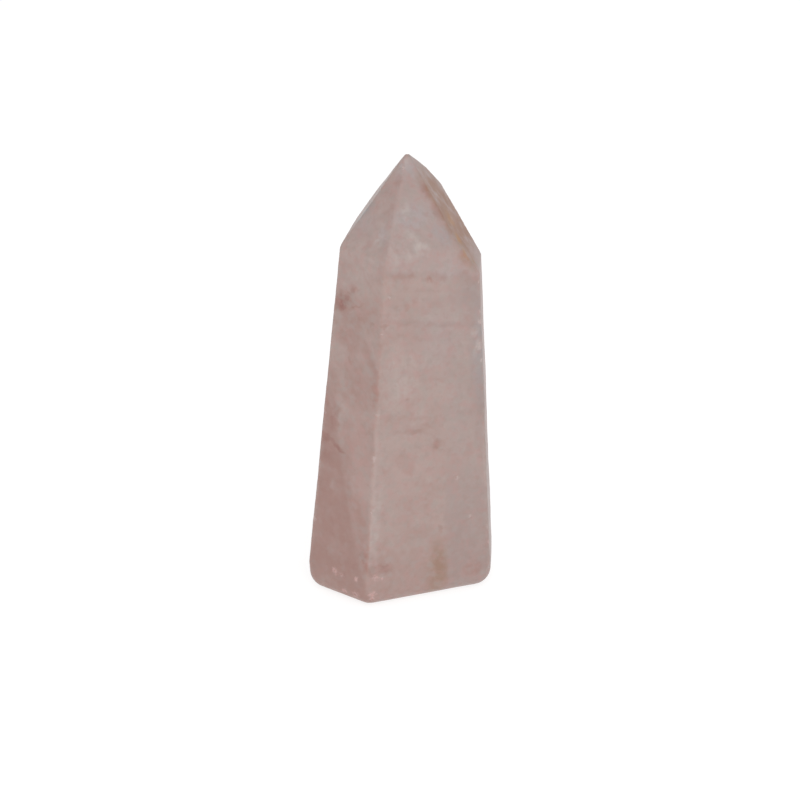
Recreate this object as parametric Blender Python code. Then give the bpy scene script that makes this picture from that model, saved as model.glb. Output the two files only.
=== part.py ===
"""Rose quartz point: one piece of pink quartz, ground to a six-sided tower that stands on its foot."""

import itertools
import math

import bmesh
import bpy
import numpy as np

MM = 0.001

# The point that the tip facets meet at, above and beside the middle of the ground foot, in
# millimetres. Wear leaves the tip itself a little lower.
TIP_HEIGHT = 80.4
TIP_TO_THE_RIGHT = 1.5
TIP_TO_THE_BACK = 1.6

# Radii that grinding and tumbling have worn the edges to, in millimetres. The upright edges are
# rounder near the foot, up to the wear height.
FOOT_ROUNDING = 3.4
UPRIGHT_ROUNDING = 0.8
TIP_ROUNDING = 0.7
FOOT_WEAR_HEIGHT = 5.5
ARC_STEPS = 5

# Side facets, going round from the broad front one: the way it faces, in degrees to the right of
# the front; its distance from the axis at the foot, in millimetres; its inward lean, in degrees.
SIDE_FACETS = {
    "front": (0.0, 11.7, 1.75),
    "front_right": (64.5, 17.05, 3.05),
    "back_right": (119.0, 14.3, 2.35),
    "back": (180.0, 12.95, 2.55),
    "back_left": (236.0, 15.2, 5.1),
    "front_left": (300.0, 15.6, 4.3),
}

# Tip facets: the way it faces, as above; how far its face is tilted up, in degrees; and how much
# higher or lower than the others it crosses the line of the tip, in millimetres.
TIP_FACETS = {
    "front": (0.0, 37.0, 0.0),
    "front_right": (62.0, 34.3, 0.0),
    "back_right": (120.0, 42.8, 2.0),
    "back": (178.0, 41.0, 0.0),
    "back_left": (239.0, 34.5, -0.2),
    "front_left": (300.0, 40.0, 0.0),
}

STONE_COLOUR = (0.42, 0.31, 0.285, 1.0)
STONE_ROUGHNESS = 0.22
QUARTZ_IOR = 1.54

DOWN = np.array((0.0, 0.0, -1.0))
# Faces that turn less than this at an edge are one flat facet, and those that turn more than the
# second angle meet in a crisp edge.
FLAT_BELOW = math.radians(0.05)
CRISP_ABOVE = math.radians(22.0)
# Points nearer than this are one point, in millimetres.
SAME_POINT = 0.005
# Three planes whose normals span less than this don't meet in one point.
SPAN_LEAST = 1e-6
# Slack in millimetres when a corner is tested against the planes that it lies on.
SLACK = 1e-6


def clear_scene():
    for old in list(bpy.data.objects):
        bpy.data.objects.remove(old, do_unlink=True)


def outward(angle, tilt):
    """Unit normal of a face that looks towards this angle and is tilted up by this much."""
    around = math.radians(angle)
    up = math.radians(tilt)
    return np.array((
        math.cos(up) * math.sin(around),
        -math.cos(up) * math.cos(around),
        math.sin(up),
    ))


def ground_planes():
    """Every flat face of the stone as (normal, distance from the origin), the foot first."""
    planes = [(DOWN, 0.0)]
    for angle, reach, lean in SIDE_FACETS.values():
        planes.append((outward(angle, lean), reach * math.cos(math.radians(lean))))
    for angle, tilt, higher in TIP_FACETS.values():
        normal = outward(angle, tilt)
        tip = np.array((TIP_TO_THE_RIGHT, TIP_TO_THE_BACK, TIP_HEIGHT + higher))
        planes.append((normal, normal @ tip))
    return planes


def meeting_point(planes):
    """The point that lies on all three planes, or None where they have no single one."""
    normals = np.array([normal for normal, distance in planes])
    if abs(np.linalg.det(normals)) < SPAN_LEAST:
        return None
    return np.linalg.solve(normals, [distance for normal, distance in planes])


def ball_corners(planes, radius):
    """Where a ball of this radius rests in the corners: (centre, the three planes it touches)."""
    inset = [(normal, distance - radius) for normal, distance in planes]
    for chosen in itertools.combinations(range(len(planes)), 3):
        centre = meeting_point([inset[i] for i in chosen])
        if centre is None:
            continue
        if all(normal @ centre <= distance + SLACK for normal, distance in inset):
            yield centre, chosen


def cap_points(centre, radius, normals):
    """Points on the patch of a ball that lies between the faces with these normals."""
    for i in range(ARC_STEPS + 1):
        for j in range(ARC_STEPS + 1 - i):
            k = ARC_STEPS - i - j
            direction = i * normals[0] + j * normals[1] + k * normals[2]
            yield centre + radius * direction / np.linalg.norm(direction)


def rounded_points():
    """Points on the rounded corners. Their hull has flat facets and rounded edges."""
    planes = ground_planes()
    foot = 0
    sides = range(1, 1 + len(SIDE_FACETS))

    def cap_on(centre, radius, touched):
        return cap_points(centre, radius, [planes[i][0] for i in touched])

    for centre, touched in ball_corners(planes, FOOT_ROUNDING):
        if foot in touched:
            yield from cap_on(centre, FOOT_ROUNDING, touched)
    for centre, touched in ball_corners(planes, UPRIGHT_ROUNDING):
        if foot not in touched and any(i in sides for i in touched):
            yield from cap_on(centre, UPRIGHT_ROUNDING, touched)
    for centre, touched in ball_corners(planes, TIP_ROUNDING):
        if foot not in touched and not any(i in sides for i in touched):
            yield from cap_on(centre, TIP_ROUNDING, touched)
    # The upright edges are worn rounder only near the foot, so a small ball sits above that wear.
    above_wear = (DOWN, UPRIGHT_ROUNDING - FOOT_WEAR_HEIGHT)
    for centre, touched in ball_corners([above_wear] + planes[1:], UPRIGHT_ROUNDING):
        if foot in touched:
            first, second = [i for i in touched if i != foot]
            yield from cap_on(centre, UPRIGHT_ROUNDING, (first, first, second))


def stone_mesh():
    """The hull of the rounded corners, its flat facets whole, standing on the origin."""
    points = np.array(list(rounded_points()))
    low = points.min(axis=0)
    middle = (low + points.max(axis=0)) / 2
    foot_centre = np.array((middle[0], middle[1], low[2]))
    bm = bmesh.new()
    for point in (points - foot_centre) * MM:
        bm.verts.new(point)
    bmesh.ops.remove_doubles(bm, verts=bm.verts[:], dist=SAME_POINT * MM)
    hull = bmesh.ops.convex_hull(bm, input=bm.verts[:])
    left_over = {v for v in hull["geom_interior"] + hull["geom_unused"] if isinstance(v, bmesh.types.BMVert)}
    bmesh.ops.delete(bm, geom=list(left_over), context="VERTS")
    bmesh.ops.dissolve_limit(bm, angle_limit=FLAT_BELOW, verts=bm.verts[:], edges=bm.edges[:])
    bmesh.ops.recalc_face_normals(bm, faces=bm.faces[:])
    mesh = bpy.data.meshes.new("rose_quartz_point")
    bm.to_mesh(mesh)
    bm.free()
    mesh.shade_smooth()
    mesh.set_sharp_from_angle(angle=CRISP_ABOVE)
    return mesh


def stone_material():
    material = bpy.data.materials.new("polished_rose_quartz")
    material.use_nodes = True
    shader = material.node_tree.nodes["Principled BSDF"]
    shader.inputs["Base Color"].default_value = STONE_COLOUR
    shader.inputs["Roughness"].default_value = STONE_ROUGHNESS
    shader.inputs["Metallic"].default_value = 0.0
    shader.inputs["IOR"].default_value = QUARTZ_IOR
    return material


def make_point():
    mesh = stone_mesh()
    mesh.materials.append(stone_material())
    point = bpy.data.objects.new("rose_quartz_point", mesh)
    bpy.context.scene.collection.objects.link(point)
    return point


clear_scene()
make_point()
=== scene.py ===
import math

import bpy
import numpy as np
from mathutils import Matrix, Vector


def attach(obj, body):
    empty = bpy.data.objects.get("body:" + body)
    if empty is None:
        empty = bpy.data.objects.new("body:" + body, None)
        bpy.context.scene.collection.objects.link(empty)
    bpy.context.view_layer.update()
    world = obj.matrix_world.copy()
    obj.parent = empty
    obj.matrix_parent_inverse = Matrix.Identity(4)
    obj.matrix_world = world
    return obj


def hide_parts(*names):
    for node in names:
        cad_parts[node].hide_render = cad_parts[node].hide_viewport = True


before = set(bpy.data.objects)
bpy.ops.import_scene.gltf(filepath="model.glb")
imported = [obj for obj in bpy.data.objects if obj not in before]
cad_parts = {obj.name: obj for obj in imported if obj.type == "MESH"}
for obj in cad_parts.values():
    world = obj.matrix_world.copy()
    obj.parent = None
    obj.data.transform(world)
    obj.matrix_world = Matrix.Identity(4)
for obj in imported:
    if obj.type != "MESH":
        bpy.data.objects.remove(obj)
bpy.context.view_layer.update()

# Polished stone
# One piece of milky pink quartz, sawn from a lump, ground on a wheel to six sides and a six-sided
# tip, then tumbled and polished. It stands on its ground foot, and nothing is fixed to it.

MM = 0.001

# The point that the tip facets meet at, from the foot of the grinding axis, in millimetres.
TIP = Vector((1.5, 1.6, 80.4))

# Side facets: the way each faces, in degrees to the right of the front; its distance from the
# grinding axis at the foot, in millimetres; its inward lean, in degrees.
SIDES = {
    "front": (0.0, 11.7, 1.75),
    "front_right": (64.5, 17.05, 3.05),
    "back_right": (119.0, 14.3, 2.35),
    "back": (180.0, 12.95, 2.55),
    "back_left": (236.0, 15.2, 5.1),
    "front_left": (300.0, 15.6, 4.3),
}
# Tip facets: the way each faces; how far it is tilted up, in degrees; how much higher than the
# point it crosses the line of the tip, in millimetres.
TIPS = {
    "tip_front": (0.0, 37.0, 0.0),
    "tip_front_right": (62.0, 34.3, 0.0),
    "tip_back_right": (120.0, 42.8, 2.0),
    "tip_back": (178.0, 41.0, 0.0),
    "tip_back_left": (239.0, 34.5, -0.2),
    "tip_front_left": (300.0, 40.0, 0.0),
}
# Radii that grinding and tumbling leave on the edges, in millimetres. The foot is worn rounder,
# and that wear reaches up the upright edges as far as its height.
FOOT_ROUNDING = 3.4
EDGE_ROUNDING = 0.8
TIP_ROUNDING = 0.7
FOOT_WEAR_HEIGHT = 5.5
# Corners above this height belong to the tip, in millimetres.
TIP_STARTS = 74.0
# Side of the sawn block that the facets are ground on, in millimetres.
SAWN_BLOCK = 90.0
# Points nearer than this are one point, in metres.
SAME_POINT = 1e-6
# How often the balls that round the corners are subdivided.
FOOT_BALL_STEPS = 4
SMALL_BALL_STEPS = 3


def outward(around, tilt):
    """The direction that a facet looks in."""
    around = math.radians(around)
    up = math.radians(tilt)
    return Vector((math.cos(up) * math.sin(around), -math.cos(up) * math.cos(around), math.sin(up)))


facing = {name: shape[0] for name, shape in {**SIDES, **TIPS}.items()}
normals = {name: outward(shape[0], shape[2]) for name, shape in SIDES.items()}
normals.update({name: outward(shape[0], shape[1]) for name, shape in TIPS.items()})
# How far out each facet lies along its own direction, in millimetres.
reaches = {name: shape[1] * math.cos(math.radians(shape[2])) for name, shape in SIDES.items()}
for name, shape in TIPS.items():
    reaches[name] = normals[name].dot(TIP + Vector((0, 0, shape[2])))


def deselect_all():
    """Leaves edit mode and selects nothing, because an operator acts on all that is selected."""
    if bpy.context.object and bpy.context.object.mode == "EDIT":
        bpy.ops.object.mode_set(mode="OBJECT")
    bpy.ops.object.select_all(action="DESELECT")


def worn_corners(wear, bottom):
    """Grinds a block to the facets moved in by the wear, and returns its corners, in metres."""
    deselect_all()
    middle = (bottom + SAWN_BLOCK / 2) * MM
    bpy.ops.mesh.primitive_cube_add(size=SAWN_BLOCK * MM, location=(0, 0, middle))
    block = bpy.context.object
    bpy.ops.object.transform_apply(location=True)
    bpy.ops.object.mode_set(mode="EDIT")
    for name, normal in normals.items():
        bpy.ops.mesh.select_all(action="SELECT")
        bpy.ops.mesh.bisect(
            plane_co=normal * (reaches[name] - wear) * MM,
            plane_no=normal,
            use_fill=True,
            clear_outer=True,
            threshold=SAME_POINT,
        )
    bpy.ops.mesh.select_all(action="SELECT")
    bpy.ops.mesh.remove_doubles(threshold=SAME_POINT)
    bpy.ops.object.mode_set(mode="OBJECT")
    corners = [v.co.copy() for v in block.data.vertices]
    bpy.data.objects.remove(block)
    return corners


foot_corners = [c for c in worn_corners(FOOT_ROUNDING, FOOT_ROUNDING) if c.z < FOOT_WEAR_HEIGHT * MM]
edge_corners = [c for c in worn_corners(EDGE_ROUNDING, FOOT_WEAR_HEIGHT) if c.z < TIP_STARTS * MM]
tip_corners = [c for c in worn_corners(TIP_ROUNDING, FOOT_WEAR_HEIGHT) if c.z > TIP_STARTS * MM]

# A ball as round as the wear stands in every corner, and the hull of the balls is the worn stone.
deselect_all()
bpy.ops.mesh.primitive_ico_sphere_add(
    subdivisions=FOOT_BALL_STEPS,
    radius=FOOT_ROUNDING * MM,
    location=foot_corners[0],
)
stone = bpy.context.object
stone.name = "polished_stone"
stone.data.name = "polished_stone"
bpy.ops.object.transform_apply(location=True)
bpy.ops.object.mode_set(mode="EDIT")
for corners, rounding, steps in (
    (foot_corners[1:], FOOT_ROUNDING, FOOT_BALL_STEPS),
    (edge_corners, EDGE_ROUNDING, SMALL_BALL_STEPS),
    (tip_corners, TIP_ROUNDING, SMALL_BALL_STEPS),
):
    for corner in corners:
        bpy.ops.mesh.primitive_ico_sphere_add(subdivisions=steps, radius=rounding * MM, location=corner)
bpy.ops.mesh.select_all(action="SELECT")
bpy.ops.mesh.convex_hull()
bpy.ops.object.mode_set(mode="OBJECT")

# The stone stands on the middle of its own box, so the facets are moved with it.
low = Vector([min(v.co[i] for v in stone.data.vertices) for i in range(3)])
high = Vector([max(v.co[i] for v in stone.data.vertices) for i in range(3)])
to_middle = -Vector(((low.x + high.x) / 2, (low.y + high.y) / 2, low.z))
stone.location = to_middle
bpy.ops.object.transform_apply(location=True)
for name, normal in normals.items():
    reaches[name] += normal.dot(to_middle) / MM

# Even faces about a third of a millimetre across, which the nicks and the polish work on.
FACE_SIZE = 0.36


def apply_modifier(piece, kind, **settings):
    """Adds a modifier of this kind to the piece and applies it."""
    modifier = piece.modifiers.new(kind.lower(), kind)
    for setting, value in settings.items():
        setattr(modifier, setting, value)
    deselect_all()
    bpy.context.view_layer.objects.active = piece
    piece.select_set(True)
    bpy.ops.object.modifier_apply(modifier=modifier.name)


apply_modifier(stone, "REMESH", mode="VOXEL", voxel_size=FACE_SIZE * MM)


def on_facet(name, across, height):
    """The point of a facet this far right of the stone's middle, seen from outside, and so high."""
    around = math.radians(facing[name])
    rightward = Vector((math.cos(around), math.sin(around), 0))
    level = Vector((math.sin(around), -math.cos(around), 0))
    depth = (reaches[name] - normals[name].z * height) / normals[name].dot(level)
    return rightward * across + level * depth + Vector((0, 0, height))


def on_edge(first, second, height):
    """The point of the edge between two facets at this height."""
    a, b = normals[first], normals[second]
    reach_a = reaches[first] - a.z * height
    reach_b = reaches[second] - b.z * height
    spread = a.x * b.y - a.y * b.x
    x = (reach_a * b.y - reach_b * a.y) / spread
    y = (a.x * reach_b - b.x * reach_a) / spread
    return Vector((x, y, height))


# Nicks that knocks have left in the edges, by the two facets that meet there: the height, the width
# and the depth, in millimetres.
EDGE_NICKS = {
    ("front_left", "front"): (
        (37.4, 0.6, 0.1),
        (29.2, 0.7, 0.1),
        (19.0, 0.4, 0.06),
        (52.0, 0.4, 0.06),
    ),
    ("front", "front_right"): (
        (59.3, 0.6, 0.1),
        (53.8, 0.6, 0.1),
        (51.9, 1.0, 0.14),
        (47.6, 1.3, 0.18),
        (44.6, 0.7, 0.11),
        (9.4, 0.7, 0.1),
    ),
    ("front_right", "back_right"): ((31.0, 1.0, 0.15), (33.4, 0.5, 0.08), (52.3, 0.7, 0.1)),
    ("back_right", "back"): ((44.8, 0.7, 0.1), (18.6, 1.1, 0.16), (20.2, 0.5, 0.08)),
    ("back", "back_left"): ((26.4, 0.7, 0.1), (49.5, 0.9, 0.13), (47.9, 0.5, 0.08)),
    ("back_left", "front_left"): ((35.0, 0.7, 0.1), (14.2, 0.9, 0.12)),
    ("tip_front_right", "tip_back_right"): ((68.9, 1.7, 0.2), (65.6, 0.8, 0.12)),
    ("tip_back", "tip_back_left"): ((70.2, 1.2, 0.15),),
}
# Nicks in the facets: how far right of the middle, the height, the width and the depth.
FACET_NICKS = (
    ("front", -6.2, 58.5, 0.5, 0.08),
    ("front", 6.6, 23.0, 0.6, 0.07),
    ("front", 9.2, 15.2, 0.5, 0.08),
    ("front_left", -2.3, 5.8, 1.1, 0.12),
    ("front_left", -0.6, 5.4, 0.7, 0.1),
    ("front_left", 2.6, 5.5, 0.9, 0.1),
    ("front_left", 2.5, 2.2, 1.1, 0.12),
    ("front_left", 0.0, 2.1, 0.9, 0.1),
    ("front", -9.8, 3.0, 1.0, 0.12),
    ("front", -9.8, 1.8, 0.8, 0.09),
    ("front", -9.2, 6.2, 0.9, 0.1),
    ("front", -7.9, 6.0, 0.5, 0.07),
    ("tip_front_left", 0.7, 78.0, 0.5, 0.07),
    ("back", -4.6, 38.2, 0.6, 0.08),
    ("back_right", 2.1, 25.5, 0.5, 0.08),
    ("back", 7.2, 4.6, 0.9, 0.12),
    ("back_right", 4.0, 3.9, 0.8, 0.1),
)
NICK_SEED = 7
# How far the surface of a break strays, as a share of its depth.
ROUGH_BREAK = 0.3
NICK_BALL_STEPS = 3

nicks = []
for edge, row in EDGE_NICKS.items():
    nicks += [(on_edge(*edge, height), width, depth) for height, width, depth in row]
for *spot, width, depth in FACET_NICKS:
    nicks.append((on_facet(*spot), width, depth))

# The balls that cut them stand in one object, and each leaves a mark where it meets the surface.
deselect_all()
bpy.ops.mesh.primitive_cube_add(size=MM)
cutter = bpy.context.object
bpy.ops.object.mode_set(mode="EDIT")
bpy.ops.mesh.delete(type="VERT")
marks = []
for number, (spot, width, depth) in enumerate(nicks):
    surface, normal = stone.closest_point_on_mesh(spot * MM)[1:3]
    marks.append((surface / MM, width))
    # The ball whose cap is as wide and as deep as the nick, roughened like broken quartz.
    radius = (width * width / 4 + depth * depth) / (2 * depth) * MM
    centre = surface + normal * (radius - depth * MM)
    bpy.ops.mesh.primitive_ico_sphere_add(
        subdivisions=NICK_BALL_STEPS,
        radius=radius,
        location=centre,
    )
    bpy.ops.transform.vertex_random(offset=depth * ROUGH_BREAK * MM, seed=NICK_SEED + number)
    bpy.ops.mesh.select_all(action="DESELECT")
bpy.ops.object.mode_set(mode="OBJECT")
apply_modifier(stone, "BOOLEAN", object=cutter, operation="DIFFERENCE", solver="MANIFOLD")
bpy.data.objects.remove(cutter)

# Where the wear shows is kept at the mesh's points: how near a nick is, in its own widths and up to
# the farthest that counts, and how near an edge is, from 0 to 1, for the edges' frost and their
# painted highlight. These reach so many millimetres in from an edge.
FARTHEST = 3.0
FROST_AND_HIGHLIGHT_WIDTH = 0.75

points = np.empty(len(stone.data.vertices) * 3)
stone.data.vertices.foreach_get("co", points)
points = points.reshape(-1, 3) / MM
nick_distance = np.full(len(points), FARTHEST)
for mark, width in marks:
    away = np.linalg.norm(points - np.array(mark), axis=1) / width
    nick_distance = np.minimum(nick_distance, away)
# A point is on an edge where the second nearest facet is near too.
facet_distances = np.array([reaches[name] - points @ np.array(normals[name]) for name in normals])
facet_distances.sort(axis=0)
edge_frost_and_highlight = np.clip(1 - facet_distances[1] / FROST_AND_HIGHLIGHT_WIDTH, 0, 1)
for name, values in {"from_nick": nick_distance, "edge_frost_and_highlight": edge_frost_and_highlight}.items():
    attribute = stone.data.attributes.new(name, "FLOAT", "POINT")
    attribute.data.foreach_set("value", values.astype(np.float32))

# Hand polish leaves the facets a little wavy, but not the foot, which was ground on a flat lap. The
# waves have a size and a height, in millimetres, and grow to their height over the first one.
WAVES = {"slow_waves": (11.0, 0.2), "short_waves": (3.2, 0.05)}
# Faces that meet in less than this many degrees are shaded as one surface.
SOFT_BELOW = 40.0

above_foot = stone.vertex_groups.new(name="above_foot")
for vertex in stone.data.vertices:
    above_foot.add([vertex.index], min(1.0, max(0.0, vertex.co.z / MM)), "REPLACE")
for name, (size, height) in WAVES.items():
    waves = bpy.data.textures.new(name, "CLOUDS")
    waves.noise_scale = size * MM
    waves.noise_depth = 1
    apply_modifier(
        stone,
        "DISPLACE",
        texture=waves,
        texture_coords="LOCAL",
        strength=height * MM,
        mid_level=0.5,
        vertex_group="above_foot",
    )
    bpy.data.textures.remove(waves)
deselect_all()
stone.select_set(True)
bpy.context.view_layer.objects.active = stone
bpy.ops.object.shade_smooth_by_angle(angle=math.radians(SOFT_BELOW))

# The soft light on the stone, and the part of it that the polish sends back as a white sheen.
LIGHT = 1.115
POLISH_SHEEN = 0.025
SCREEN_GAMMA = 2.2


def shown(red, green, blue):
    """The base colour that shows as this colour, from 0 to 255, in that light."""
    seen = [(part / 255) ** SCREEN_GAMMA for part in (red, green, blue)]
    return [max(0.0, (part - POLISH_SHEEN) / LIGHT) for part in seen] + [1.0]


# Colours of the stone as they show.
MILKY_PINK = shown(178, 158, 152)
ROSE_CLOUD = shown(175, 152, 146)
PALE_CLOUD = shown(182, 164, 159)
DEEP_ROSE = shown(166, 136, 129)
DARK_ROSE = shown(153, 117, 110)
GREY_VEIL = shown(180, 163, 160)
LILAC_GREY = shown(177, 165, 164)
# The grey of painted shade.
SHADE_GREY = shown(165, 148, 144)
BLUISH_GREY = shown(163, 156, 155)
WHITE_CLOUD = shown(191, 179, 175)
IRON_BROWN = shown(160, 132, 117)
RUSTY_ROSE = shown(156, 115, 91)
IRON_ORANGE = shown(178, 130, 88)
BRUISED = shown(198, 178, 174)
PINK_BRUISE = shown(204, 170, 166)
WARM_PINK = shown(184, 154, 148)
RUDDY_ROSE = shown(170, 134, 126)
ROSY_FLECK = shown(184, 149, 144)
GREYISH_FLECK = shown(165, 155, 149)
DULL_ROSE = shown(156, 132, 127)
# Frost on the edges with a painted highlight in it.
FROST_AND_HIGHLIGHT = shown(186, 168, 163)

quartz = bpy.data.materials.new("milky_rose_quartz")
quartz.use_nodes = True
tree = quartz.node_tree
shader = tree.nodes["Principled BSDF"]


def add_node(kind, inputs=None, **settings):
    """A new node with these settings, and with values or other nodes' outputs in its inputs."""
    made = tree.nodes.new(kind)
    for setting, value in settings.items():
        setattr(made, setting, value)
    for name, value in (inputs or {}).items():
        feed(made.inputs[name], value)
    return made


def feed(socket, value):
    if isinstance(value, bpy.types.NodeSocket):
        tree.links.new(value, socket)
    else:
        socket.default_value = value


def calc(operation, a, b=0.0):
    return add_node("ShaderNodeMath", {0: a, 1: b}, operation=operation).outputs[0]


def times(a, b):
    return calc("MULTIPLY", a, b)


def rest_of(share):
    return calc("SUBTRACT", 1.0, share)


def vector_calc(operation, inputs, output="Vector"):
    return add_node("ShaderNodeVectorMath", inputs, operation=operation).outputs[output]


def fade(value, start, end, low=0.0, high=1.0):
    """Goes smoothly from low to high as the value goes from start to end."""
    limits = {"Value": value, "From Min": start, "From Max": end, "To Min": low, "To Max": high}
    return add_node("ShaderNodeMapRange", limits, interpolation_type="SMOOTHSTEP").outputs["Result"]


def blend_in(under, over, share):
    """The colour under, with as much of the other colour over it as the share says."""
    made = add_node("ShaderNodeMix", data_type="RGBA")
    feed(made.inputs["Factor"], share)
    for socket, value in zip([s for s in made.inputs if s.type == "RGBA"], (under, over)):
        feed(socket, value)
    return next(s for s in made.outputs if s.type == "RGBA")


# The place inside the stone, in millimetres, and its height above the foot.
object_place = add_node("ShaderNodeTexCoord").outputs["Object"]
place_mm = vector_calc("SCALE", {0: object_place, 3: 1 / MM})
height_mm = add_node("ShaderNodeSeparateXYZ", {0: place_mm}).outputs["Z"]


def noise(size, seed, detail, where):
    """Solid noise with lumps of this size in millimetres, about 0.5 on average."""
    inputs = {"Vector": where, "W": seed, "Scale": 1 / size, "Detail": detail}
    return add_node("ShaderNodeTexNoise", inputs, noise_dimensions="4D")


def cloudy(size, seed, detail=3.0, where=place_mm):
    return noise(size, seed, detail, where).outputs["Fac"]


def stirred(where, size, amount, seed):
    """Places pushed about by noise, so that what is drawn there gets a ragged edge."""
    push = noise(size, seed, 2.0, where).outputs["Color"]
    centred = vector_calc("SUBTRACT", {0: push, 1: (0.5, 0.5, 0.5)})
    sized = vector_calc("SCALE", {0: centred, 3: amount})
    return vector_calc("ADD", {0: where, 1: sized})


ragged = stirred(stirred(place_mm, size=5.0, amount=3.0, seed=1.3), size=1.1, amount=1.2, seed=2.9)

# A lump is this deep, and at its full strength in this share of it.
LUMP_DEPTH = 4.0
LUMP_CORE = 0.1


def lump(facet, across, height, wide, tall, slant=0.0, dip=0.0, deep=LUMP_DEPTH, where=ragged):
    """1 in the middle of a lump inside the stone, centred on a facet, and 0 outside it.

    The slant turns it clockwise seen from outside, in degrees, and the dip tips its top outwards.
    """
    inputs = {
        "Vector": where,
        "Location": on_facet(facet, across, height),
        "Rotation": (math.radians(dip), math.radians(slant), math.radians(facing[facet])),
        "Scale": (wide / 2, deep / 2, tall / 2),
    }
    centred = add_node("ShaderNodeMapping", inputs, vector_type="TEXTURE").outputs[0]
    away = vector_calc("LENGTH", {0: centred}, "Value")
    return fade(away, LUMP_CORE, 1.0, low=1.0, high=0.0)


def gather(lumps, **shape):
    """The strongest of several lumps, each given with its strength."""
    most = None
    for strength, *where in lumps:
        one = times(lump(*where, **shape), strength)
        most = one if most is None else calc("MAXIMUM", most, one)
    return most


def beyond(direction, point, softness, where=place_mm):
    """0 before the plane through the point, square to this direction, and 1 past it."""
    along = vector_calc("DOT_PRODUCT", {0: where, 1: direction}, "Value")
    middle = Vector(direction).dot(point)
    return fade(along, middle - softness, middle + softness)


def near_plane(direction, point, half_width, where=place_mm):
    """1 on the plane through the point, square to this direction, and 0 beyond the half width."""
    along = vector_calc("DOT_PRODUCT", {0: where, 1: direction}, "Value")
    off = calc("ABSOLUTE", calc("SUBTRACT", along, Vector(direction).dot(point)))
    return fade(off, 0.0, half_width, low=1.0, high=0.0)


def patches(size, seed, start, end, share, detail=3.0, where=place_mm):
    """Patches of solid noise: 0 where it is below the start and the share where it is above the end."""
    return fade(cloudy(size, seed, detail, where), start, end, low=0.0, high=share)


# The body of the stone: pink quartz with paler and rosier clouds through it.
rosy = patches(size=9.0, seed=4.1, start=0.42, end=0.66, share=0.7)
colour = blend_in(MILKY_PINK, ROSE_CLOUD, rosy)
pale = patches(size=4.2, seed=8.2, start=0.46, end=0.66, share=0.5, where=ragged)
colour = blend_in(colour, PALE_CLOUD, pale)
deep = patches(size=2.6, seed=3.7, start=0.5, end=0.7, share=0.3, detail=4.0)
colour = blend_in(colour, DEEP_ROSE, deep)

# Thin sheets of bubbles lie through it, all about the same way, and show as faint streaks. They are
# so many times as broad as they are thick.
SHEETS_FACE = Vector((0.15, -1.3, 1.0))
SHEET_BREADTH = 9.0
lying = {
    "Vector": ragged,
    "Rotation": SHEETS_FACE.to_track_quat("Z", "Y").to_euler(),
    "Scale": (SHEET_BREADTH, SHEET_BREADTH, 1.0),
}
sheets = add_node("ShaderNodeMapping", lying, vector_type="TEXTURE").outputs[0]
deep_sheets = patches(size=1.7, seed=3.1, start=0.5, end=0.68, share=0.28, where=sheets)
colour = blend_in(colour, DEEP_ROSE, deep_sheets)
pale_sheets = patches(size=2.1, seed=7.6, start=0.5, end=0.7, share=0.3, where=sheets)
colour = blend_in(colour, PALE_CLOUD, pale_sheets)

# The left facets are painted darker and rosier, apart from the tip: painted shade, the deeper colour
# where that side looks into the stone. It is darkest in a painted wedge with a slanting edge, low on
# the
# left: the painted shade of a back facet seen through the stone.
left_of_edge = normals["front_left"] - normals["front"]
left_side = beyond(left_of_edge, on_edge("front_left", "front", 30.0), softness=0.25)
# Painted shade on the left facets.
painted_left_shade = patches(size=5.0, seed=5.5, start=0.3, end=0.66, share=0.55, where=ragged)
painted_left_shade = times(times(left_side, painted_left_shade), fade(height_mm, 55.0, 60.0, low=1.0, high=0.1))
colour = blend_in(colour, DEEP_ROSE, painted_left_shade)
# Painted shade in a wedge: a back facet's shade seen through the stone.
WEDGE_FACES = Vector((-0.5, 0.866, -0.283)).normalized()
wedge_edge = stirred(place_mm, size=5.0, amount=2.2, seed=6.1)
shaded_wedge = beyond(WEDGE_FACES, on_facet("front_left", -2.0, 27.5), softness=0.9, where=wedge_edge)
shaded_wedge = times(shaded_wedge, fade(cloudy(3.0, 8.8, where=ragged), 0.3, 0.6, low=0.62, high=1.0))
colour = blend_in(colour, DEEP_ROSE, shaded_wedge)

# Near the foot it is painted darker and rosier, as painted shade, but hardly on the left, where the
# wedge is.
# Painted shade towards the foot.
shaded_foot = fade(height_mm, 1.5, 16.0, low=0.5, high=0.0)
shaded_foot = times(shaded_foot, fade(left_side, 0.0, 1.0, low=1.0, high=0.1))
colour = blend_in(colour, DEEP_ROSE, shaded_foot)

# A lump of another colour in the stone has a strength from 0 to 1, the facet that it shows at, its
# place to the right of the middle and its height, its width and how tall it is, in millimetres,
# and where it is slanted, the slant in degrees.

# The right of the front facet is painted greyer and darker, most of all low down: painted shade. The
# lump on the left tip facet is a painted shadow along its upper left.
RIGHTWARD = Vector((1.0, 0.0, 0.02))
shaded_right = beyond(RIGHTWARD, on_facet("front", 4.4, 18.0), softness=0.9, where=ragged)
shaded_right = times(shaded_right, fade(height_mm, 16.0, 34.0, low=0.6, high=0.0))
SHADE_LUMPS = (
    (0.95, "front", 11.6, 44.0, 7.5, 56.0),
    (0.8, "front", 9.0, 57.5, 12.0, 11.0),
    # A painted shadow along the upper left of the left tip facet.
    (0.35, "tip_front_left", -0.8, 74.6, 3.2, 7.0, 16.0),
)
shaded_right = calc("MAXIMUM", shaded_right, gather(SHADE_LUMPS))
colour = blend_in(colour, SHADE_GREY, shaded_right)

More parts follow.
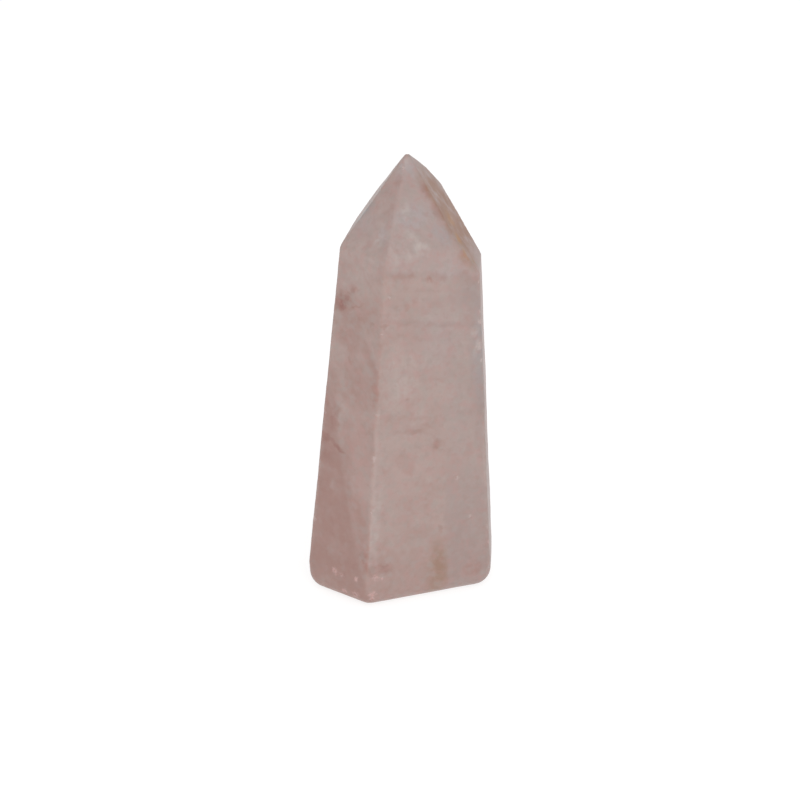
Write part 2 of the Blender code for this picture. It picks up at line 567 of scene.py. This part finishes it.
# Above a veil that crosses it under the tip, the stone is greyer, and along the veil a broken darker
# line is painted: the veil's shadow in the stone, painted shade.
VEIL_FACES = Vector((0.15, 0.69, 1.0)).normalized()
veil_place = on_facet("front", 0.0, 61.9)
above_veil = beyond(VEIL_FACES, veil_place, softness=0.6, where=ragged)
above_veil = times(above_veil, fade(left_side, 0.0, 1.0, low=0.45, high=0.25))
colour = blend_in(colour, GREY_VEIL, above_veil)
veil_edge = stirred(ragged, size=6.0, amount=2.6, seed=5.2)
# Painted shadow along the veil.
veil_shadow_line = near_plane(VEIL_FACES, veil_place, half_width=1.1, where=veil_edge)
broken = fade(cloudy(3.2, 1.9), 0.34, 0.62, low=0.08, high=0.3)
broken = times(broken, fade(left_side, 0.0, 1.0, low=1.0, high=0.5))
colour = blend_in(colour, DARK_ROSE, times(veil_shadow_line, broken))

# Darker rosy lumps, wisps and single spots. The dark blob high on the left facet and the three thin
# wisps by it are painted shadows that veils cast in the stone.
DARK_LUMPS = (
    # Painted shadow: the dark blob.
    (1.0, "front_left", -3.5, 55.8, 5.8, 5.4),
    (0.35, "front_left", -1.0, 53.4, 6.5, 4.0),
    (0.9, "front_left", 4.7, 10.6, 3.8, 4.4),
    (0.3, "front_left", 0.6, 21.5, 2.4, 9.0, -8.0),
    (0.25, "front_left", -1.5, 34.5, 7.0, 4.0),
    # Painted shadow: three thin wisps of the veils' shade.
    (0.5, "front_left", -1.7, 57.9, 7.0, 1.2, -26.0),
    (0.5, "front_left", -1.3, 55.8, 6.4, 1.0, -19.0),
    (0.4, "front_left", -2.2, 54.2, 5.0, 0.9, -12.0),
    (0.75, "front_left", -5.4, 30.3, 4.6, 2.0, 8.0),
    (0.75, "front_left", -2.7, 29.2, 5.0, 1.8, 30.0),
    (0.4, "front_left", -5.5, 27.5, 5.0, 6.0),
    (0.3, "front_left", 3.0, 47.0, 2.6, 12.0, -30.0),
    (0.25, "front_left", 4.6, 41.0, 3.0, 9.0, -8.0),
    (0.2, "front_left", -1.5, 50.0, 9.0, 9.0),
    (0.2, "front_left", 1.0, 43.0, 1.6, 12.0, -24.0),
    (0.35, "front_left", -1.1, 45.8, 2.0, 1.6),
    (0.4, "front_left", 3.5, 53.0, 1.6, 1.2),
    (0.5, "tip_front", 3.2, 74.6, 2.6, 6.5, -25.0),
    (0.45, "tip_front", 4.8, 71.0, 2.2, 5.0, -25.0),
    (0.6, "front", -7.4, 7.8, 6.4, 3.6),
    (0.6, "front", -9.8, 7.6, 5.0, 3.6),
    (0.12, "front_left", 1.7, 7.5, 15.0, 4.0),
    (0.6, "front_left", -4.0, 35.5, 3.0, 9.0),
    (0.3, "front_left", -2.8, 53.2, 3.0, 3.6),
    (0.2, "front_left", -2.6, 62.5, 4.0, 3.0),
    (0.2, "front", -1.0, 13.2, 13.0, 4.4),
    (0.5, "front", -2.7, 39.6, 1.2, 1.1),
    (0.35, "front", -1.5, 33.2, 5.0, 1.6),
    (0.3, "front", -3.4, 29.1, 3.4, 2.6),
    (0.45, "front", 2.3, 30.1, 2.2, 3.2),
    (0.15, "front", -2.8, 26.5, 4.0, 4.0),
    (0.45, "front", -6.9, 53.4, 1.6, 1.3),
    (0.55, "front", 1.4, 60.6, 2.4, 1.8),
    (0.4, "front", 4.2, 60.7, 1.6, 1.4),
    (0.45, "front", 3.3, 14.0, 1.4, 2.6),
    (0.6, "front", 3.9, 7.4, 1.3, 1.3),
    (0.4, "tip_front_left", 1.0, 76.0, 2.6, 3.4),
    (0.65, "front", 10.2, 4.6, 5.0, 4.0),
    (0.45, "back", 3.0, 50.0, 5.0, 1.8, 24.0),
    (0.5, "back_right", -3.0, 41.0, 2.0, 7.0, 18.0),
    (0.4, "back_left", 1.5, 22.0, 4.0, 2.6, -30.0),
)
torn = stirred(ragged, size=0.8, amount=1.1, seed=4.4)
colour = blend_in(colour, DARK_ROSE, gather(DARK_LUMPS, where=torn))
# These end at the upright edge between the left facet and the front one.
EDGE_LUMPS = (
    (0.8, "front_left", 5.4, 41.0, 4.2, 11.0),
    (0.45, "front_left", 2.4, 18.5, 4.6, 20.0, -7.0),
    (1.0, "front_left", 5.8, 9.8, 4.8, 12.0),
)
colour = blend_in(colour, RUDDY_ROSE, times(gather(EDGE_LUMPS), left_side))

# Greyer, bluer, warmer and whiter lumps. The white ones are made of upright streaks.
GREY_LUMPS = (
    (0.35, "front", 4.0, 50.0, 16.0, 22.0),
    (0.5, "front", 5.0, 62.0, 6.5, 6.0),
    (0.45, "front", 11.0, 48.0, 4.6, 24.0),
    (0.85, "tip_front", 4.6, 68.0, 5.0, 11.0, -22.0),
    (0.95, "tip_front", 0.0, 71.0, 10.5, 17.0),
    (0.45, "tip_front_left", -2.0, 69.0, 6.0, 13.0, 18.0),
    (0.8, "tip_front_left", 2.8, 68.5, 4.2, 16.0, -18.0),
    (0.9, "tip_front", 1.0, 77.8, 6.0, 7.0),
    (0.5, "back_right", -4.0, 30.0, 5.0, 20.0, 6.0),
)
colour = blend_in(colour, LILAC_GREY, gather(GREY_LUMPS))
BLUISH_LUMPS = (
    (1.0, "tip_front_left", -3.2, 71.2, 4.6, 22.0, 16.5),
    (0.6, "front", 10.8, 48.0, 5.0, 30.0),
    (0.25, "front", 7.0, 36.0, 8.0, 26.0),
    (0.4, "tip_front", 4.6, 68.0, 5.0, 11.0, -22.0),
)
colour = blend_in(colour, BLUISH_GREY, gather(BLUISH_LUMPS))
WHITE_LUMPS = (
    (0.6, "tip_front", -1.1, 72.0, 2.2, 11.0),
    (0.15, "tip_front", 0.6, 70.0, 2.0, 9.0, -12.0),
    (0.6, "tip_front", -0.9, 68.0, 2.4, 6.5, -30.0),
    (0.95, "tip_front", -0.1, 66.2, 4.8, 3.8),
    (0.45, "tip_front", -3.2, 65.5, 7.0, 5.0),
    (0.35, "tip_front", -4.8, 65.5, 3.4, 8.0, 10.0),
    (0.5, "tip_front", 0.8, 78.8, 3.0, 3.0),
    (0.5, "tip_front_left", 2.5, 67.5, 5.0, 9.0),
    (0.35, "front_left", 3.4, 63.8, 4.0, 5.0),
    (0.25, "tip_front_left", -2.0, 66.0, 8.0, 6.0),
    (0.6, "front", 10.4, 47.3, 2.0, 5.6, 8.0),
    (0.5, "front", 9.6, 50.0, 2.6, 3.0),
    (0.3, "front", -4.4, 44.0, 9.5, 19.0),
    (0.3, "front", -0.3, 37.2, 7.0, 4.4),
    (0.35, "front", -0.8, 35.0, 11.0, 2.8),
    (0.35, "front_left", -3.9, 22.1, 2.0, 2.2),
    (0.35, "front_left", -2.5, 34.2, 1.8, 1.6),
    (0.4, "back", -3.0, 58.0, 6.0, 5.0, 20.0),
    (0.35, "back_left", -2.0, 44.0, 3.0, 10.0, 15.0),
    (0.3, "back_right", 2.0, 16.0, 6.0, 5.0),
)
WARM_LUMPS = (
    (0.6, "front_left", 1.9, 29.0, 6.5, 31.0, -9.0),
    (0.3, "front", -3.5, 26.0, 11.0, 18.0),
    (0.4, "front", 10.0, 4.5, 6.0, 6.0),
)
colour = blend_in(colour, WARM_PINK, gather(WARM_LUMPS))
STREAK_SQUEEZE = 0.22
upright_streaks = {"Vector": place_mm, "Scale": (1.0, 1.0, STREAK_SQUEEZE)}
streaky = add_node("ShaderNodeMapping", upright_streaks).outputs[0]
streaks = fade(cloudy(1.5, 6.7, where=streaky), 0.38, 0.6, low=0.55, high=1.0)
colour = blend_in(colour, WHITE_CLOUD, times(gather(WHITE_LUMPS), streaks))
beside_edge = lump("front", -9.3, 16.0, 4.2, 24.0, 4.0)
beside_edge = times(times(beside_edge, rest_of(left_side)), 0.45)
colour = blend_in(colour, WHITE_CLOUD, beside_edge)

# Iron has stained the right side of the tip rusty. The stain reaches just past the edge to the front
# facet, ends before the next facet round, before the shoulder and before the tip.
PAST_EDGE = 0.2
BEFORE_NEXT = 0.5
SHOULDER_FACES = Vector((-0.25, 0.1, 1.0))
to_stain = normals["tip_front_right"] - normals["tip_front"]
past_stain = normals["tip_back_right"] - normals["tip_front_right"]
tip_point = TIP + to_middle / MM
torn_far = stirred(torn, size=5.0, amount=4.0, seed=8.3)
stain_starts = tip_point - to_stain.normalized() * PAST_EDGE
stain_ends = tip_point + past_stain.normalized() * BEFORE_NEXT
shoulder = on_facet("tip_front_right", -3.0, 63.5)
stain = beyond(to_stain, stain_starts, softness=0.9, where=torn)
stain = times(stain, beyond(-past_stain, stain_ends, softness=1.6, where=torn_far))
stain = times(stain, beyond(SHOULDER_FACES, shoulder, softness=2.0, where=torn_far))
stain = times(stain, fade(height_mm, 74.0, 79.0, low=1.0, high=0.0))
rust = times(stain, patches(size=2.4, seed=7.1, start=0.25, end=0.55, share=0.72))
colour = blend_in(colour, RUSTY_ROSE, rust)

# Brown lumps of iron low on the front and in the rust. The one at the foot ends sharply on its
# right, and the rust has small orange spots.
BROWN_LUMPS = (
    (0.85, "front", 3.0, 5.6, 6.6, 18.0),
    (0.6, "tip_front_right", -0.2, 69.6, 4.4, 6.0, 35.0),
    (0.6, "tip_front_right", -3.2, 66.0, 5.0, 5.0, 40.0),
    (0.7, "tip_front_right", -3.9, 63.0, 6.0, 5.0),
    (0.4, "front", 8.6, 64.0, 3.6, 3.0),
    (0.4, "back_left", -3.0, 12.0, 3.0, 9.0, 10.0),
)
brown_ends = beyond(RIGHTWARD, on_facet("front", 4.9, 7.0), softness=0.35)
brown_ends = times(brown_ends, fade(height_mm, 20.0, 30.0, low=0.8, high=0.0))
colour = blend_in(colour, IRON_BROWN, times(gather(BROWN_LUMPS), rest_of(brown_ends)))
ORANGE_LUMPS = (
    (0.8, "tip_front_right", -0.1, 68.8, 4.4, 4.0),
    (0.9, "tip_front_right", -3.2, 66.4, 3.6, 2.8),
    (0.7, "tip_front_right", -5.2, 64.5, 2.2, 1.8),
    (0.35, "tip_front_right", -3.6, 63.0, 3.6, 3.0),
)
colour = blend_in(colour, IRON_ORANGE, gather(ORANGE_LUMPS, where=torn))

# Healed cracks: flat sheets through the stone that show as broken darker lines at the surface. Each
# has a dip after its slant, and reaches this far in.
CRACK_DEPTH = 24.0
CRACKS = (
    (0.42, "front", 0.5, 52.9, 26.0, 1.7, 10.0, -22.8),
    (0.28, "front", -6.5, 33.8, 17.0, 1.5, 8.0, -22.8),
    (0.6, "back", 2.0, 27.0, 15.0, 1.6, -28.0, 15.0),
)
crack_edge = stirred(place_mm, size=2.5, amount=1.0, seed=9.4)
in_cracks = gather(CRACKS, deep=CRACK_DEPTH, where=crack_edge)
in_cracks = times(in_cracks, fade(cloudy(1.8, 4.7), 0.36, 0.6, low=0.3, high=1.0))
colour = blend_in(colour, DULL_ROSE, in_cracks)

# A fine mottle over all of it, fainter in the painted shade of the wedge and in the rust: each fleck's
# colour, size in millimetres, seed and share.
plain_stone = rest_of(times(calc("MAXIMUM", shaded_wedge, stain), 0.75))
MOTTLE = (
    (WHITE_CLOUD, 1.3, 5.9, 0.12),
    (ROSY_FLECK, 1.2, 9.1, 0.35),
    (GREYISH_FLECK, 1.3, 6.3, 0.35),
)
for fleck, size, seed, share in MOTTLE:
    flecks = patches(size, seed, start=0.46, end=0.66, share=share)
    colour = blend_in(colour, fleck, times(flecks, plain_stone))
colour = blend_in(colour, DARK_ROSE, patches(size=1.1, seed=2.4, start=0.5, end=0.7, share=0.12))


def kept_at_points(name):
    """The numbers that the mesh's points hold under this name."""
    made = add_node("ShaderNodeAttribute", attribute_name=name, attribute_type="GEOMETRY")
    return made.outputs["Fac"]


# Paler edges, most of all between the foot and the middle: frosted wear and a painted highlight.
frost_and_highlight = times(kept_at_points("edge_frost_and_highlight"), patches(size=1.6, seed=7.7, start=0.4, end=0.62, share=0.75))
frost_and_highlight = times(frost_and_highlight, fade(height_mm, 28.0, 44.0, low=1.0, high=0.05))
frost_and_highlight = times(frost_and_highlight, fade(height_mm, 7.0, 14.0, low=0.3, high=1.0))
colour = blend_in(colour, FROST_AND_HIGHLIGHT, frost_and_highlight)

# Bruises round the nicks, broken up by fine noise, and pinker at the foot.
uneven = calc("ADD", kept_at_points("from_nick"), times(cloudy(0.5, 3.3, detail=2.0), 2.0))
bruise = fade(uneven, 1.0, 1.9, low=1.0, high=0.0)
bruise_colour = blend_in(PINK_BRUISE, BRUISED, fade(height_mm, 7.0, 12.0))
colour = blend_in(colour, bruise_colour, times(bruise, 0.8))
feed(shader.inputs["Base Color"], colour)

# The polish is a satin one, rougher on bruises and frosted edges, and light goes a little way into
# the stone, red light farthest.
POLISH_FROM = 0.36
POLISH_TO = 0.46
BRUISE_ROUGHER = 0.25
FROST_ROUGHER = 0.2
SHEEN_LEVEL = 0.2
QUARTZ_IOR = 1.54
MILKINESS = 0.35
LIGHT_REACH = 1.3
REACH_BY_COLOUR = (1.0, 0.7, 0.6)

roughness = fade(cloudy(4.0, 1.1, detail=4.0), 0.3, 0.7, low=POLISH_FROM, high=POLISH_TO)
roughness = calc("ADD", roughness, times(bruise, BRUISE_ROUGHER))
roughness = calc("ADD", roughness, times(frost_and_highlight, FROST_ROUGHER))
feed(shader.inputs["Roughness"], roughness)
shader.inputs["Specular IOR Level"].default_value = SHEEN_LEVEL
shader.inputs["IOR"].default_value = QUARTZ_IOR
shader.inputs["Subsurface Weight"].default_value = MILKINESS
shader.inputs["Subsurface Radius"].default_value = REACH_BY_COLOUR
shader.inputs["Subsurface Scale"].default_value = LIGHT_REACH * MM

# Fine wear and grain in the polish, this deep in millimetres.
WEAR_DEPTH = 0.05
WEAR_STRENGTH = 0.12
FINE_WEAR_SHARE = 0.35

relief = calc("ADD", times(cloudy(0.35, 6.6), FINE_WEAR_SHARE), cloudy(1.4, 2.2))
wear = {"Height": relief, "Strength": WEAR_STRENGTH, "Distance": WEAR_DEPTH * MM}
feed(shader.inputs["Normal"], add_node("ShaderNodeBump", wear).outputs["Normal"])
stone.data.materials.clear()
stone.data.materials.append(quartz)

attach(stone, "root")
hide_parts("rose_quartz_point")

# Table
# The plain white sheet that the stone stands on. It glows like the bed of a light table, so that
# hardly a shadow falls on it, and it runs on past the edges of the picture.

# The sheet's side, in metres.
FLOOR_SIZE = 6.0
SHEET_WHITE = 0.3
SHEET_GLOW = 0.79

deselect_all()
bpy.ops.mesh.primitive_plane_add(size=FLOOR_SIZE)
floor = bpy.context.object
floor.name = "floor"
sheet = bpy.data.materials.new("white_sheet")
sheet.use_nodes = True
sheet_shader = sheet.node_tree.nodes["Principled BSDF"]
sheet_shader.inputs["Base Color"].default_value = (SHEET_WHITE, SHEET_WHITE, SHEET_WHITE, 1.0)
sheet_shader.inputs["Roughness"].default_value = 1.0
sheet_shader.inputs["Specular IOR Level"].default_value = 0.0
sheet_shader.inputs["Emission Color"].default_value = (1.0, 1.0, 1.0, 1.0)
sheet_shader.inputs["Emission Strength"].default_value = SHEET_GLOW
floor.data.materials.append(sheet)

# Soft light
# White light from all round, as in a tent of white cloth, and one broad square lamp in front of the
# stone, up on the left.
ROOM_LIGHT = 0.7
LAMP_WAY = Vector((-0.22, -0.76, 0.62)).normalized()
# The lamp's distance and side, in metres, and how bright it makes the stone.
LAMP_AWAY = 1.1
LAMP_SIZE = 0.7
LAMP_SHARE = 0.4

world = bpy.data.worlds.new("soft_room")
world.use_nodes = True
world.node_tree.nodes["Background"].inputs["Color"].default_value = (1.0, 1.0, 1.0, 1.0)
world.node_tree.nodes["Background"].inputs["Strength"].default_value = ROOM_LIGHT
bpy.context.scene.world = world
bpy.context.scene.view_settings.view_transform = "Standard"

light = bpy.data.lights.new("broad_lamp", "AREA")
light.size = LAMP_SIZE
light.energy = LAMP_SHARE * (math.pi * LAMP_AWAY) ** 2
lamp = bpy.data.objects.new("broad_lamp", light)
bpy.context.scene.collection.objects.link(lamp)
lamp.location = LAMP_WAY * LAMP_AWAY
lamp.rotation_euler = LAMP_WAY.to_track_quat("Z", "Y").to_euler()

# Camera
# A long lens that looks a little down on the stone, from the left of its broad front facet. It aims
# at a point near the stone's axis, below its middle.

# Degrees round from the front, above the sheet and turned in its mount.
CAMERA_AROUND = -22.02
CAMERA_ABOVE = 23.14
CAMERA_ROLL = 0.4
# Millimetres, for the lens too.
CAMERA_DISTANCE = 411.7
AIM_RIGHT = 0.21
AIM_HEIGHT = 34.48
LENS = 103.5
SENSOR_WIDTH = 36.0
NEAREST_SHOWN = 10.0

around = math.radians(CAMERA_AROUND)
above = math.radians(CAMERA_ABOVE)
look = Vector((
    -math.sin(around) * math.cos(above),
    math.cos(around) * math.cos(above),
    -math.sin(above),
))
rightward = Vector((math.cos(around), math.sin(around), 0))
upward = rightward.cross(look)
aim = rightward * AIM_RIGHT + Vector((0, 0, AIM_HEIGHT))
upright = Matrix((rightward, upward, -look)).transposed().to_4x4()
camera = bpy.data.objects.new("camera", bpy.data.cameras.new("camera"))
camera.data.lens = LENS
camera.data.sensor_width = SENSOR_WIDTH
camera.data.clip_start = NEAREST_SHOWN * MM
bpy.context.scene.collection.objects.link(camera)
turned = upright @ Matrix.Rotation(math.radians(CAMERA_ROLL), 4, "Z")
camera.matrix_world = Matrix.Translation((aim - look * CAMERA_DISTANCE) * MM) @ turned
bpy.context.scene.camera = camera
